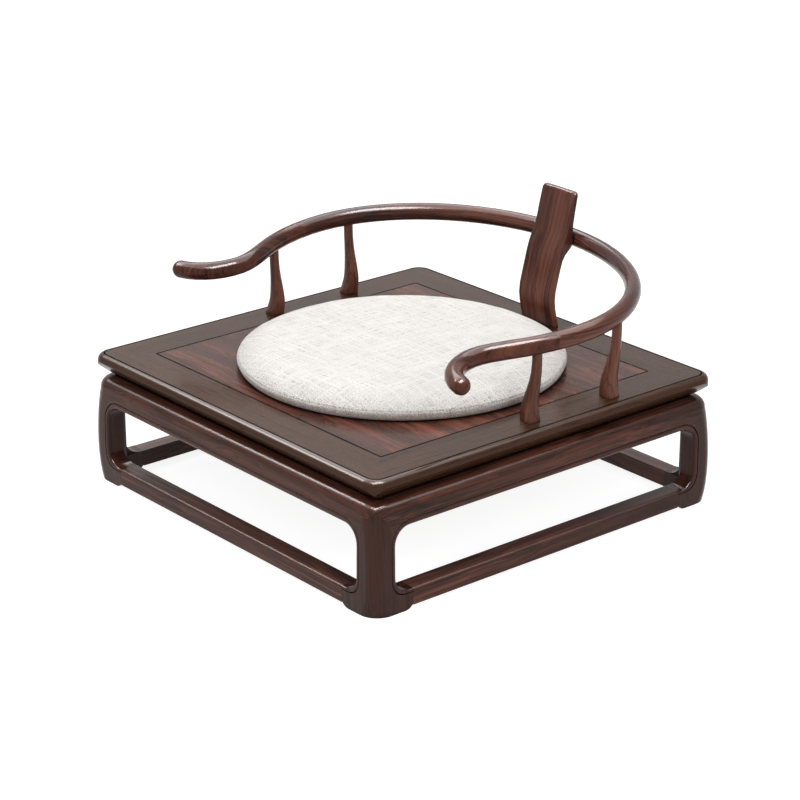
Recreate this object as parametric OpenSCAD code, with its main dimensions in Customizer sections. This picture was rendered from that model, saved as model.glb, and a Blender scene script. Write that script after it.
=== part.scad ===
// Low meditation chair: square platform seat on a waisted base with bulging legs,
// horseshoe arm rail on four posts, curved back splat and a loose round cushion.
// Millimetres. Front is -Y, up is +Z, floor is Z = 0, X = Y = 0 is the middle of the whole chair.

/* [Seat] */
// Width of the seat at its widest line, left to right
seat_w = 700; // [660:5:760]
// Depth of the seat at its widest line, front to back
seat_d = 683; // [650:1:740]
// Height of the seat top above the floor
seat_h = 210; // [195:1:230]
// Thickness of the seat frame
frame_t = 32; // [30:1:38]
// Width of each seat frame member, seen from above
member_w = 74; // [68:1:84]
// Corner radius of the seat at its widest line
seat_r = 28; // [24:1:32]
// Depth of the widest line below the seat top
edge_drop = 11; // [8:0.5:13]
// How far the lower edge draws in from the widest line
edge_in = 20.4; // [16:0.2:22]
// Inset of the incised line on top, from the widest line
line_in = 11; // [10:0.5:14]
// Width of the incised line
line_w = 2; // [1.2:0.2:2.4]
// Depth of the incised line
line_deep = 1.6; // [0.8:0.2:2]

/* [Panel and battens] */
// Thickness of the seat panel
panel_t = 14; // [12:1:15]
// Open joint between panel and frame, seen from above
panel_gap = 0.6; // [0.4:0.1:1]
// Depth of the panel groove in the frame
panel_groove = 8; // [6:1:10]
// Thickness of the panel tongue
tongue_t = 6; // [5:0.5:7]
// Depth of the panel tongue below the seat top
tongue_drop = 5; // [4:0.5:6]
// Width of a batten under the panel
batten_w = 30; // [24:1:36]
// Height of a batten below the panel
batten_t = 15; // [12:1:16]
// Height of the batten dovetail inside the panel
dovetail_t = 3; // [2:0.5:3]
// Distance between battens, centre to centre
batten_pitch = 170; // [140:5:180]

/* [Base] */
// Height of the recessed waist
waist_h = 4; // [3:0.5:8]
// Inset of the waist face from the widest line
waist_in = 27; // [25:0.5:28]
// Thickness of a waist strip
waist_t = 11; // [9:1:11]
// Height of the rounded shoulder of aprons and legs
shoulder_h = 18.5; // [14:0.5:22]
// Inset of the top of the shoulder
shoulder_in = 24; // [18:1:25]
// Inset of the foot of the shoulder
shoulder_out = 1.6; // [1:0.2:4]
// How strongly the corners of the legs belly outwards
belly = 11; // [0:0.5:12]
// How strongly the faces of the legs belly outwards
face_belly = 1.4; // [0:0.2:3]
// Corner radius of the base, seen from above
base_r = 32; // [30:1:34]
// Width and depth of a leg
leg_w = 40.5; // [39:0.5:44]
// Radius of the leg's inner edge
leg_inner_r = 14; // [10:1:18]
// Thickness of an apron
apron_t = 38; // [38:1:40]
// Thickness of the mitred part of an apron, in front of the leg
mitre_t = 20; // [16:1:21]
// Height of an apron, shoulder top to lower edge
apron_h = 42.5; // [38:0.5:46]
// Radius of the upper corners of the openings
open_r = 27; // [20:1:32]
// Radius of the curl where a leg turns into its foot
curl_r = 25; // [18:1:28]
// Length of a foot along each side
foot_l = 73; // [70:1:84]
// Height of the rounding under the end of a foot
foot_cut = 7.5; // [5:0.5:10]
// Thickness of a foot and of a stretcher, front to back
stretch_t = 30; // [26:1:32]
// Height of a stretcher
stretch_h = 26.5; // [22:0.5:28]
// Clearance of a stretcher above the floor
stretch_up = 5.5; // [4:0.5:10]
// Radius of a stretcher's upper outer edge
stretch_r = 5; // [3:0.5:6]

/* [Bead round the openings] */
// Width of the bead along the aprons
bead_top_w = 10; // [8:0.2:11]
// Width of the bead down the legs
bead_w = 8; // [6:0.2:9]
// Width of the bead where it meets a stretcher
bead_end_w = 5.6; // [4:0.2:6]
// Extra width of the bead in the middle of the curl
bead_swell = 2.6; // [0:0.2:3]
// Depth of the rounded bead
bead_deep = 4.2; // [3:0.2:5]

/* [Arm rail] */
// Height of the rail axis above the seat, at the back
rail_up = 140; // [125:1:160]
// Height of the rail axis above the seat, at the hand ends
rail_tip_up = 103; // [95:1:115]
// Upward bow of the rail between back and hand ends
rail_bow = 3; // [0:0.5:5]
// Half height of the rail, and its radius at the hand ends
rail_r = 14.4; // [13:0.1:16]
// Half width of the rail at the back
rail_slim = 12.3; // [11:0.1:14]
// Inset of the rail axis from the seat side, at its widest
rail_in = 19.5; // [16:0.5:26]
// Overhang of the rail axis behind the seat
rail_over = 2.6; // [0:0.2:8]
// Distance of the rail's widest point behind the seat centre
rail_wide_y = 85; // [70:5:100]
// Inward sweep of the arms from their widest point to the neck
neck_in = 52.4; // [40:0.4:60]
// Distance of the neck in front of the seat centre
neck_y = 98; // [85:1:110]
// Pull of the arm curve at its widest point, as a share of its length
arm_pull = 0.535; // [0.4:0.005:0.65]
// Pull of the arm curve at the neck, as a share of its length
neck_pull = 0.24; // [0.2:0.01:0.4]
// Radius of the outward curl of the hand ends
hand_r = 75; // [65:1:80]
// Turn of the outward curl, degrees
hand_turn = 78; // [65:1:82]
// Length of the scarf joints
scarf_l = 40; // [30:1:44]
// Side of the square scarf pegs
peg_w = 6; // [5:0.5:7]

/* [Arm posts] */
// Radius of a post at the top
post_r = 7.6; // [7:0.1:9]
// Half width of a post at its squared foot
post_foot = 12.3; // [11:0.1:13]
// How far the posts stand in at the seat
post_in = 6.5; // [3:0.5:9]
// How far the posts lean further in above the seat
post_sway = 3.6; // [0:0.2:5]
// How far the posts stand forward at the seat
post_ahead = 5.5; // [0:0.5:7]
// Side of the square tenon at the seat
post_tenon = 12; // [10:0.5:14]
// Side of the square tenon in the rail
rail_tenon = 8; // [6:0.5:9]

/* [Back splat] */
// Width of the splat
splat_w = 77; // [70:1:90]
// Thickness of the splat
splat_t = 13; // [12:0.5:15]
// Height of the splat above the rail axis
splat_over = 78.5; // [60:0.5:95]
// Width of the bevelled margins
splat_margin = 9; // [6:1:12]
// Depth of the bevelled margins
splat_bevel = 3; // [2:0.5:4]
// Width of the tenon at the seat
splat_tenon_w = 50; // [40:1:60]

/* [Cushion] */
// Diameter of the cushion
cushion_dia = 517; // [480:1:530]
// Thickness of the cushion in the middle
cushion_t = 38; // [32:1:50]
// Height of the seam round the side
seam_up = 20; // [16:1:22]
// Rise of the crown above the side
crown = 12; // [8:1:16]
// Rounding of the cushion's lower edge
cushion_round = 12; // [8:1:16]
// Gap between the cushion and the splat
splat_room = 20; // [10:1:30]

/* [Tenons] */
// Width of the hidden tenons at the seat frame's corners
corner_tenon_w = 12; // [10:1:14]
// Thickness of the hidden tenons at the seat frame's corners
corner_tenon_t = 8; // [6:0.5:9]
// Height of these tenons above the frame's underside
corner_tenon_up = 11; // [9:0.5:12]
// Distance of these tenons from the frame's inner edge
corner_tenon_in = 16; // [12:1:20]
// Length of a batten's tenons
batten_tenon_l = 12; // [10:1:16]
// Thickness of a batten's tenons
batten_tenon_t = 8; // [6:0.5:9]
// Shoulder at the sides of a batten's tenons
batten_shoulder = 5; // [3:1:7]
// Height of a waist tongue, up into the seat frame
waist_tongue_up = 5; // [4:0.5:7]
// Depth of a waist tongue, down into the apron
waist_tongue_down = 3; // [2:0.5:4]
// Thickness of a waist tongue
waist_tongue_t = 5; // [4:0.5:6]
// Shoulder in front of waist tongues and leg tenons
waist_shoulder = 3; // [2:0.5:3]
// Length of a leg's tenon, up into the seat frame
leg_tenon_l = 10; // [8:1:12]
// Length of an apron's tenons
apron_tenon_l = 14; // [12:1:16]
// Height of an apron's tenons
apron_tenon_h = 10; // [8:1:11]
// Thickness of an apron's tenons
apron_tenon_t = 9; // [8:0.5:11]
// Wall above the upper and between the two apron tenons in a leg
apron_tenon_wall = 6; // [5:0.5:6]
// Length of a stretcher's tenons
stretch_tenon_l = 22; // [18:1:26]
// Thickness of a stretcher's tenons
stretch_tenon_t = 12; // [10:1:14]
// Shoulder above and below a stretcher's tenons
stretch_shoulder = 7; // [5:0.5:8]
// Length of the tenons of posts and splat, down into the seat frame
seat_tenon_l = 20; // [16:1:24]
// Thickness of the splat's tenon
splat_tenon_t = 8; // [6:0.5:9]
// Side of the square peg that holds the splat to the rail
splat_peg_w = 8; // [6:0.5:9]
// How far the scarf pegs reach above the middle of the rail
peg_over = 5; // [3:0.5:7]
// How far post tenons and splat peg reach past the middle of the rail
past_axis = 2; // [1:0.5:4]

/* [Fits] */
// Clearance of a tenon or tongue on each side
fit = 0.15; // [0.1:0.05:0.3]
// Free depth at the end of a tenon
end_room = 0.5; // [0.3:0.1:1]
// Gap under the cushion
lay_gap = 0.3; // [0.2:0.1:0.4]

/* [Show] */
// Piece to draw, or all

/* [Hidden] */
half_x = seat_w / 2;
half_y = seat_d / 2;
frame_z = seat_h - frame_t;
shoulder_z = frame_z - waist_h;
knee_z = shoulder_z - shoulder_h;
apron_z = shoulder_z - apron_h;
stretch_z = stretch_up + stretch_h;
// outer face of the base from the top of the shoulder down to the floor, as [inset, height]
function skin(b) = let (
    line = [[shoulder_out, knee_z], [-0.56 * b, 0.77 * knee_z], [-b, 0.26 * knee_z], [0, 0]]
) concat(
    [for (a = [0:15:90]) [
        shoulder_in - (shoulder_in - shoulder_out) * sin(a), knee_z + shoulder_h * cos(a)
    ]],
    [for (t = [0.1:0.1:1.01]) bezier(line, t)]
);
face = skin(face_belly);
corner = skin(belly);
// mitre of apron and leg: inset + height is the same all along it
mitre = apron_z + leg_w;
// how far the faces belly out past the seat's widest line
face_out = max(-min([for (p = face) p[0]]), 0);
rail_half = half_x - rail_in;
rail_y = half_y + rail_over;
// middle of the whole chair, measured from the seat centre
centre_y = (rail_y + rail_slim - half_y - face_out) / 2;
rear_post_q = 0.825;
front_post_q = 1.368;
scarf_q = 1.155;
rail_sides = 16;
tip_y = -neck_y - hand_r * sin(hand_turn);
mid_groove = tongue_drop + tongue_t;
over = 1;

// cubic curve through its first and last control points
function bezier(c, t) =
    pow(1 - t, 3) * c[0] + 3 * t * pow(1 - t, 2) * c[1]
    + 3 * t * t * (1 - t) * c[2] + pow(t, 3) * c[3];

// inset of the base's outer face at height z
function skin_in(z) = lookup(z, [for (p = face) [p[1], p[0]]]);

// smooth value through rows of [position, value]
function smooth(rows, x, k = 0) =
    k >= len(rows) - 2 || x <= rows[k + 1][0]
        ? smooth_in(
            rows[max(k - 1, 0)][1], rows[k][1], rows[k + 1][1], rows[min(k + 2, len(rows) - 1)][1],
            (x - rows[k][0]) / (rows[k + 1][0] - rows[k][0])
        )
        : smooth(rows, x, k + 1);
function smooth_in(a, b, c, d, t) =
    b + t / 2 * (c - a + t * (2 * a - 5 * b + 4 * c - d + t * (3 * (b - c) + d - a)));

// closed solid over rings that all have the same number of points
module loft(rings) {
    n = len(rings[0]);
    m = len(rings);
    polyhedron(
        points = [for (r = rings) for (p = r) p],
        faces = concat(
            [[for (k = [0:n - 1]) k]],
            [for (i = [0:m - 2]) for (k = [0:n - 1])
                [i * n + k, (i + 1) * n + k, (i + 1) * n + (k + 1) % n]],
            [for (i = [0:m - 2]) for (k = [0:n - 1])
                [i * n + k, (i + 1) * n + (k + 1) % n, i * n + (k + 1) % n]],
            [[for (k = [n - 1:-1:0]) (m - 1) * n + k]]
        )
    );
}

// box given by its lower and upper corners
module span(lo, hi) {
    translate(lo) cube(hi - lo);
}

// moves a piece measured from the seat centre to the middle of the whole chair
module placed() {
    translate([0, -centre_y, 0]) children();
}

// extrudes a [Y, Z] outline along X, and an [X, Z] outline along Y
module along_x(from, to) {
    translate([from, 0, 0]) rotate([90, 0, 90]) linear_extrude(to - from) children();
}
module along_y(from, to) {
    translate([0, to, 0]) rotate([90, 0, 0]) linear_extrude(to - from) children();
}

/* Seat frame */

// outward swell of the edge below its widest line
edge_swell = 0.6;
// moulded edge from the lower arris up over the lip and the incised line, as [inset, height]
edge_line = concat(
    [for (k = [0:5]) let (t = k / 5) [
        edge_in * pow(1 - t, 1.12) - edge_swell * sin(180 * t),
        frame_z + (frame_t - edge_drop) * t
    ]],
    [for (a = [18:18:90]) [
        (line_in - line_w / 2) * (1 - cos(a)), seat_h - edge_drop * (1 - sin(a))
    ]],
    [
        [line_in - line_w / 4, seat_h - line_deep], [line_in + line_w / 4, seat_h - line_deep],
        [line_in + line_w / 2, seat_h]
    ]
);

// one mitred member, its outer line along X at Y = 0, half_run long to each side;
// below its widest line the corner runs down to a sharp arris
module frame_member(half_run) {
    straight = half_run - seat_r;
    wide_z = seat_h - edge_drop;
    inner = [
        [member_w, seat_h], [member_w, seat_h - tongue_drop],
        [member_w - panel_groove, seat_h - tongue_drop], [member_w - panel_groove, seat_h - mid_groove],
        [member_w, seat_h - mid_groove], [member_w, frame_z]
    ];
    intersection() {
        union() {
            along_x(-half_run, half_run) intersection() {
                polygon(concat(edge_line, inner));
                square([member_w, wide_z]);
            }
            along_x(-straight, straight) polygon(concat(edge_line, inner));
        }
        linear_extrude(seat_h + over) intersection() {
            polygon([
                [-half_run, 0], [half_run, 0],
                [half_run - member_w - over, member_w + over], [member_w + over - half_run, member_w + over]
            ]);
            union() {
                translate([-straight, 0]) square([2 * straight, seat_r]);
                translate([-half_run, seat_r]) square([2 * half_run, member_w]);
                for (x = [-straight, straight]) translate([x, seat_r]) circle(seat_r, $fn = 72);
            }
        }
    }
    for (s = [0, 1]) mirror([s, 0, 0]) translate([straight, seat_r, 0]) rotate(-90)
        rotate_extrude(angle = 45) polygon(concat(
            [for (p = edge_line) if (p[1] >= wide_z - 0.001) [seat_r - p[0], p[1]]],
            [[0, seat_h], [0, wide_z]]
        ));
}

// tenons of the side members and, grown by the fit, their mortises in front and back
corner_tenon_x = half_x - member_w + corner_tenon_in;
corner_tenon_y = half_y - member_w + corner_tenon_in;
module corner_tenons(grow) {
    for (sx = [0, 1]) for (sy = [0, 1]) mirror([sx, 0, 0]) mirror([0, sy, 0])
        span([corner_tenon_x - grow, corner_tenon_y - grow, frame_z + corner_tenon_up - grow], [
            corner_tenon_x + corner_tenon_w + grow,
            half_y - seat_r - (grow > 0 ? 0 : end_room),
            frame_z + corner_tenon_up + corner_tenon_t + grow
        ]);
}

// mortises for leg tenons, posts, splat, waist tongues and battens
module frame_mortises() {
    for (sx = [0, 1]) for (sy = [0, 1]) mirror([sx, 0, 0]) mirror([0, sy, 0])
        translate([-half_x, -half_y, 0]) leg_tenon(fit, end_room);
    for (sx = [0, 1]) mirror([sx, 0, 0]) {
        post_tenon_at(front_post_q, fit, end_room);
        post_tenon_at(rear_post_q, fit, end_room);
    }
    splat_tenon(fit, end_room);
    waist_tongues(fit, end_room);
    for (k = [-1:1]) batten_tenons(k * batten_pitch, fit, end_room);
}

module front_or_back(back) {
    placed() difference() {
        rotate(back ? 180 : 0) translate([0, -half_y, 0]) frame_member(half_x);
        corner_tenons(fit);
        frame_mortises();
    }
}

module left_or_right(right) {
    placed() difference() {
        union() {
            rotate(right ? 90 : -90) translate([0, -half_x, 0]) frame_member(half_y);
            intersection() {
                corner_tenons(0);
                mirror([right ? 0 : 1, 0, 0]) span([0, -half_y, 0], [half_x, half_y, seat_h]);
            }
        }
        frame_mortises();
    }
}

module seat_frame_front() {
    color([0.30, 0.16, 0.12]) front_or_back(false);
}
module seat_frame_back() {
    color([0.30, 0.16, 0.12]) front_or_back(true);
}
module seat_frame_left() {
    color([0.28, 0.15, 0.11]) left_or_right(false);
}
module seat_frame_right() {
    color([0.28, 0.15, 0.11]) left_or_right(true);
}

/* Panel and battens */

panel_x = half_x - member_w - panel_gap;
panel_y = half_y - member_w - panel_gap;
panel_z = seat_h - panel_t;
tongue_out = panel_gap + panel_groove - end_room;

module seat_panel() {
    color([0.45, 0.22, 0.15]) placed() difference() {
        union() {
            span([-panel_x, -panel_y, panel_z], [panel_x, panel_y, seat_h]);
            span(
                [-panel_x - tongue_out, -panel_y - tongue_out, seat_h - mid_groove + fit],
                [panel_x + tongue_out, panel_y + tongue_out, seat_h - tongue_drop - fit]
            );
        }
        for (k = [-1:1]) dovetail(k * batten_pitch, panel_y + member_w, fit);
    }
}

// dovetail of a batten, narrow at the panel's underside
module dovetail(x, run, grow) {
    top = batten_w / 2 + grow;
    along_y(-run, run) translate([x, 0]) polygon([
        [dovetail_t - top, panel_z - over], [top - dovetail_t, panel_z - over],
        [top, panel_z + dovetail_t + grow], [-top, panel_z + dovetail_t + grow]
    ]);
}

// tenons at both ends of a batten, and their mortises in the frame
module batten_tenons(x, grow, room) {
    reach = half_y - member_w + batten_tenon_l + room;
    side = batten_w / 2 - batten_shoulder + grow;
    middle = panel_z - batten_t / 2;
    thick = batten_tenon_t / 2 + grow;
    span([x - side, -reach, middle - thick], [x + side, reach, middle + thick]);
}

module batten(x) {
    color([0.26, 0.14, 0.10]) placed() {
        span(
            [x - batten_w / 2, member_w - half_y, panel_z - batten_t],
            [x + batten_w / 2, half_y - member_w, panel_z]
        );
        dovetail(x, panel_y, 0);
        batten_tenons(x, 0, 0);
    }
}

module batten_left() {
    batten(-batten_pitch);
}
module batten_middle() {
    batten(0);
}
module batten_right() {
    batten(batten_pitch);
}

/* Waist */

// tongues of the waist strips, up into the frame and down into the aprons
module waist_tongues(grow, room) {
    for (turn = [0, 90, 180, 270]) rotate(turn) {
        out = turn % 180 == 0 ? half_y : half_x;
        run = (turn % 180 == 0 ? half_x : half_y) - leg_w;
        waist_tongue(run, out, grow, room);
    }
}
module waist_tongue(run, out, grow, room) {
    front = waist_in + waist_shoulder - out;
    span(
        [-run, front - grow, shoulder_z - waist_tongue_down - room],
        [run, front + waist_tongue_t + grow, frame_z + waist_tongue_up + room]
    );
}

module waist(turn) {
    out = turn % 180 == 0 ? half_y : half_x;
    run = (turn % 180 == 0 ? half_x : half_y) - leg_w;
    color([0.20, 0.11, 0.09]) placed() rotate(turn) {
        span([-run, waist_in - out, shoulder_z], [run, waist_in + waist_t - out, frame_z]);
        waist_tongue(run, out, 0, 0);
    }
}

module waist_front() {
    waist(0);
}
module waist_right() {
    waist(90);
}
module waist_back() {
    waist(180);
}
module waist_left() {
    waist(270);
}

/* Base: outer face, beads and outlines, in [inset, height] from an outer corner */

room_in = foot_l + 2 * over;

// outer form of the base near one corner; X and Y here run inwards from the seat's corner.
// The corner's rounding tightens where the leg bellies
function corner_ring(k) = let (
    d = face[k][0], z = face[k][1], c = base_r - (d - corner[k][0]) / (sqrt(2) - 1)
) concat(
    [[room_in, room_in, z], [d, room_in, z]],
    [for (a = [0:10:90]) [c - (c - d) * cos(a), c - (c - d) * sin(a), z]],
    [[room_in, d, z]]
);
module corner_form() {
    loft([for (k = [len(face) - 1:-1:0]) corner_ring(k)]);
}

// path of the opening's edge, as [inset, height, direction away from the opening, bead width]
drop_z = apron_z - open_r;
rise_z = stretch_z + curl_r;
function upper_arc(from, to, steps) = [for (k = [0:steps]) let (a = from + (to - from) * k / steps) [
    leg_w + open_r - open_r * cos(a), drop_z + open_r * sin(a), -cos(a), sin(a),
    bead_w + (bead_top_w - bead_w) * a / 90
]];
leg_edge = concat(
    upper_arc(45, 0, 4),
    [for (k = [1:4]) [leg_w, drop_z - (drop_z - rise_z) * k / 4, -1, 0, bead_w]],
    [for (k = [1:8]) let (a = 90 * k / 8) [
        leg_w + curl_r - curl_r * cos(a), rise_z - curl_r * sin(a), -cos(a), -sin(a),
        bead_w + (bead_end_w - bead_w) * k / 8 + bead_swell * pow(sin(2 * a), 2)
    ]],
    [[foot_l, stretch_z, 0, -1, bead_end_w]]
);
// section behind a face, as [depth, height]: thick as a stretcher at the foot, slim down the leg,
// thick as an apron above
leg_flat = leg_w - leg_inner_r;
behind_face = concat(
    [[-2 * belly, seat_h], [-2 * belly, -over], [stretch_t, -over]],
    [for (a = [0:18:90]) [stretch_t - (stretch_t - leg_flat) * sin(a), rise_z - curl_r * cos(a)]],
    [for (a = [90:-18:0]) [apron_t - (apron_t - leg_flat) * sin(a), drop_z + open_r * cos(a)]],
    [[apron_t, seat_h]]
);
function edge_outline(edge) = [for (p = edge) [p[0], p[1]]];
function turned(list) = [for (k = [len(list) - 1:-1:0]) list[k]];

// rounded bead along an edge path, level with the face and parted from it by a narrow quirk
function bead_ring(p) = [for (q = [
    [0, 1.25], [0, 0.8], [0.05, 0.5], [0.15, 0.24], [0.32, 0.06],
    [0.55, 0], [0.78, 0.06], [0.88, 0.24], [0.93, 0.5], [0.93, 1.25]
]) let (u = q[0] * p[4], z = p[1] + u * p[3]) [p[0] + u * p[2], skin_in(z) + q[1] * bead_deep, z]];

module bead(edge) {
    loft([for (p = edge) bead_ring(p)]);
}

// room for the bead, cut into the face from the opening to the quirk
module bead_room(edge) {
    along_y(-2 * belly, bead_deep) polygon(concat(
        [for (p = edge) [p[0] + p[4] * p[2], p[1] + p[4] * p[3]]],
        [for (p = turned(edge)) [p[0] - 2 * over * p[2], p[1] - 2 * over * p[3]]]
    ));
}

/* Legs; X and Y run inwards from the seat's corner */

// silhouette of a leg in front view below the mitre, and of its foot
module leg_outline() {
    polygon(concat(
        [[-room_in, mitre + room_in], [-room_in, 0], [foot_l - 2 * foot_cut, 0],
            [foot_l - 1.2 * foot_cut, 0.13 * foot_cut], [foot_l - 0.65 * foot_cut, 0.45 * foot_cut],
            [foot_l - 0.3 * foot_cut, 0.8 * foot_cut], [foot_l, foot_cut]],
        turned(edge_outline(leg_edge))
    ));
}

// tenon of a leg, up into the corner of the seat frame
module leg_tenon(grow, room) {
    near = waist_in + waist_shoulder - grow;
    far = leg_w - waist_shoulder + over + grow;
    span([near, near, frame_z - over], [far, far, frame_z + leg_tenon_l + room]);
}

// tenon at the end of an apron that lies along X, drop below the shoulder; the upper one is for the
// front and back aprons, and the side aprons' passes under it
apron_tenon_y = (mitre_t + apron_t - apron_tenon_t) / 2;
upper_drop = apron_tenon_wall;
lower_drop = upper_drop + apron_tenon_h + apron_tenon_wall;
module apron_tenon(drop, grow, room) {
    top = shoulder_z - drop;
    span(
        [leg_w - apron_tenon_l - room, apron_tenon_y - grow, top - apron_tenon_h - grow],
        [leg_w + over, apron_tenon_y + apron_tenon_t + grow, top + grow]
    );
}

// tenon of the stretcher that lies along X; the side one is its mirror image
module stretcher_tenon(grow, room) {
    middle = stretch_t / 2;
    thick = stretch_tenon_t / 2 + grow;
    span(
        [foot_l - stretch_tenon_l - room, middle - thick, stretch_up + stretch_shoulder - grow],
        [foot_l + over, middle + thick, stretch_z - stretch_shoulder + grow]
    );
}
module across() {
    mirror([1, -1, 0]) children();
}

module leg() {
    difference() {
        union() {
            difference() {
                intersection() {
                    corner_form();
                    union() {
                        linear_extrude(shoulder_z) {
                            translate([-over, -over]) square([leg_w + over, leg_flat + over]);
                            translate([-over, -over]) square([leg_flat + over, leg_w + over]);
                            translate([leg_flat, leg_flat]) circle(leg_inner_r, $fn = 32);
                        }
                        span([mitre_t, mitre_t, apron_z], [leg_w, leg_w, shoulder_z]);
                        leg_face();
                        across() leg_face();
                    }
                }
                bead_room(leg_edge);
                across() bead_room(leg_edge);
            }
            bead(leg_edge);
            across() bead(leg_edge);
            span([waist_in, waist_in, shoulder_z - over], [leg_w, leg_w, frame_z]);
            leg_tenon(0, 0);
        }
        mitre_cut();
        across() mitre_cut();
        apron_tenon(upper_drop, fit, end_room);
        across() apron_tenon(lower_drop, fit, end_room);
        stretcher_tenon(fit, end_room);
        across() stretcher_tenon(fit, end_room);
    }
}

// face slab of a leg
module leg_face() {
    intersection() {
        along_y(-over, apron_t) leg_outline();
        along_x(-room_in, room_in) polygon(behind_face);
    }
}

// room for the mitred end of the apron along X
module mitre_cut() {
    past = 4 * over;
    along_y(-2 * belly, mitre_t) polygon([
        [-room_in, mitre + room_in], [leg_w + past, apron_z - past], [leg_w + past, mitre + room_in]
    ]);
}

module placed_leg(sx, sy) {
    color([0.24, 0.13, 0.11]) placed()
        mirror([sx, 0, 0]) mirror([0, sy, 0]) translate([-half_x, -half_y, 0]) leg();
}

module leg_front_left() {
    placed_leg(0, 0);
}
module leg_front_right() {
    placed_leg(1, 0);
}
module leg_back_left() {
    placed_leg(0, 1);
}
module leg_back_right() {
    placed_leg(1, 1);
}

/* Aprons; each lies along X, its middle at X = 0 and its outer line at Y = 0 */

module apron(run, tenon_drop) {
    arc = [for (p = upper_arc(90, 45, 4)) [run - p[0], p[1], -p[2], p[3], p[4]]];
    arc_line = edge_outline(arc);
    lower_line = concat([for (p = turned(arc_line)) [-p[0], p[1]]], arc_line);
    path = concat(turned(arc), [for (p = arc) [-p[0], p[1], -p[2], p[3], p[4]]]);
    difference() {
        union() {
            difference() {
                intersection() {
                    union() {
                        along_x(room_in - run, run - room_in)
                            polygon(concat(face, [[room_in, 0], [room_in, shoulder_z]]));
                        for (s = [0, 1]) mirror([s, 0, 0]) translate([-run, 0, 0]) corner_form();
                    }
                    along_x(-run - over, run + over) polygon(behind_face);
                    union() {
                        along_y(mitre_t, apron_t) polygon(concat(
                            [[leg_w - run, shoulder_z], [leg_w - run, apron_z]], lower_line,
                            [[run - leg_w, apron_z], [run - leg_w, shoulder_z]]
                        ));
                        intersection() {
                            along_y(-over, mitre_t) polygon(concat(
                                [[-run - over, mitre + over]], lower_line, [[run + over, mitre + over]]
                            ));
                            linear_extrude(seat_h) polygon([
                                [-run - over, -over], [run + over, -over],
                                [run - apron_t, apron_t], [apron_t - run, apron_t]
                            ]);
                        }
                    }
                }
                bead_room(path);
            }
            bead(path);
            for (s = [0, 1]) mirror([s, 0, 0]) translate([-run, 0, 0])
                apron_tenon(tenon_drop, 0, 0);
        }
        waist_tongue(run - leg_w, 0, fit, end_room);
    }
}

module placed_apron(turn) {
    long = turn % 180 == 0;
    color([0.25, 0.13, 0.11]) placed() rotate(turn) translate([0, long ? -half_y : -half_x, 0])
        apron(long ? half_x : half_y, long ? upper_drop : lower_drop);
}

module apron_front() {
    placed_apron(0);
}
module apron_right() {
    placed_apron(90);
}
module apron_back() {
    placed_apron(180);
}
module apron_left() {
    placed_apron(270);
}

/* Stretchers between the feet */

module stretcher(turn) {
    long = turn % 180 == 0;
    run = long ? half_x : half_y;
    top_in = skin_in(stretch_z);
    outer = [for (k = [0:3]) let (z = stretch_up + (stretch_h - stretch_r) * k / 3) [skin_in(z), z]];
    color([0.30, 0.16, 0.12]) placed() rotate(turn) translate([0, long ? -half_y : -half_x, 0]) {
        along_x(foot_l - run, run - foot_l) polygon(concat(
            outer,
            [for (a = [15:15:90]) [
                top_in + stretch_r * (1 - cos(a)), stretch_z - stretch_r * (1 - sin(a))
            ]],
            [[stretch_t, stretch_z], [stretch_t, stretch_up]]
        ));
        for (s = [0, 1]) mirror([s, 0, 0]) translate([-run, 0, 0]) stretcher_tenon(0, 0);
    }
}

module stretcher_front() {
    stretcher(0);
}
module stretcher_right() {
    stretcher(90);
}
module stretcher_back() {
    stretcher(180);
}
module stretcher_left() {
    stretcher(270);
}

/* Arm rail; q runs 0 to 1 along the back curve, to 2 at the neck and to 3 at the hand end */

arm_run = rail_wide_y + neck_y;
arm_line = [[rail_half, rail_wide_y], [rail_half, rail_wide_y - arm_pull * arm_run],
    [rail_half - neck_in, neck_pull * arm_run - neck_y], [rail_half - neck_in, -neck_y]];
function rail_plan(q) =
    q <= 1 ? [rail_half * sin(90 * q), rail_wide_y + (rail_y - rail_wide_y) * cos(90 * q)]
    : q <= 2 ? bezier(arm_line, q - 1)
    : [
        rail_half - neck_in + hand_r * (1 - cos(hand_turn * (q - 2))),
        -neck_y - hand_r * sin(hand_turn * (q - 2))
    ];
function rail_frac(q) = (rail_plan(q)[1] - tip_y) / (rail_y - tip_y);
function rail_z(q) = let (f = rail_frac(q))
    seat_h + rail_tip_up + (rail_up - rail_tip_up) * f + rail_bow * (1 - pow(2 * f - 1, 2));
function rail_half_w(q) = rail_r + (rail_slim - rail_r) * rail_frac(q);
function rail_turn(q) = let (d = rail_plan(q + 0.005) - rail_plan(q - 0.005)) atan2(d[1], d[0]);

// ring of the rail at q, grown by a factor and moved forward along the rail
function rail_ring(q, k = 1, ahead = 0) = let (
    at = rail_plan(q), h = rail_turn(q), w = rail_half_w(q) * k
) [for (j = [0:rail_sides - 1]) let (a = 360 * (j + 0.5) / rail_sides) [
    at[0] - w * cos(a) * sin(h) + ahead * cos(h),
    at[1] + w * cos(a) * cos(h) + ahead * sin(h),
    rail_z(q) + rail_r * k * sin(a)
]];
function flipped(ring) = [for (p = ring) [-p[0], p[1], p[2]]];
ring_step = 1 / 18;
lap_rings = [for (k = [1:6]) rail_ring(1 + k / 9)];
half_back = [for (k = [1:18]) rail_ring(k * ring_step)];

// the back length of the rail, as far as the front post on either side
module rail_back_form() {
    half = concat(half_back, [for (k = [0:2]) lap_rings[k]]);
    loft(concat([for (r = turned(half)) flipped(r)], [rail_ring(0)], half));
}

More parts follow.
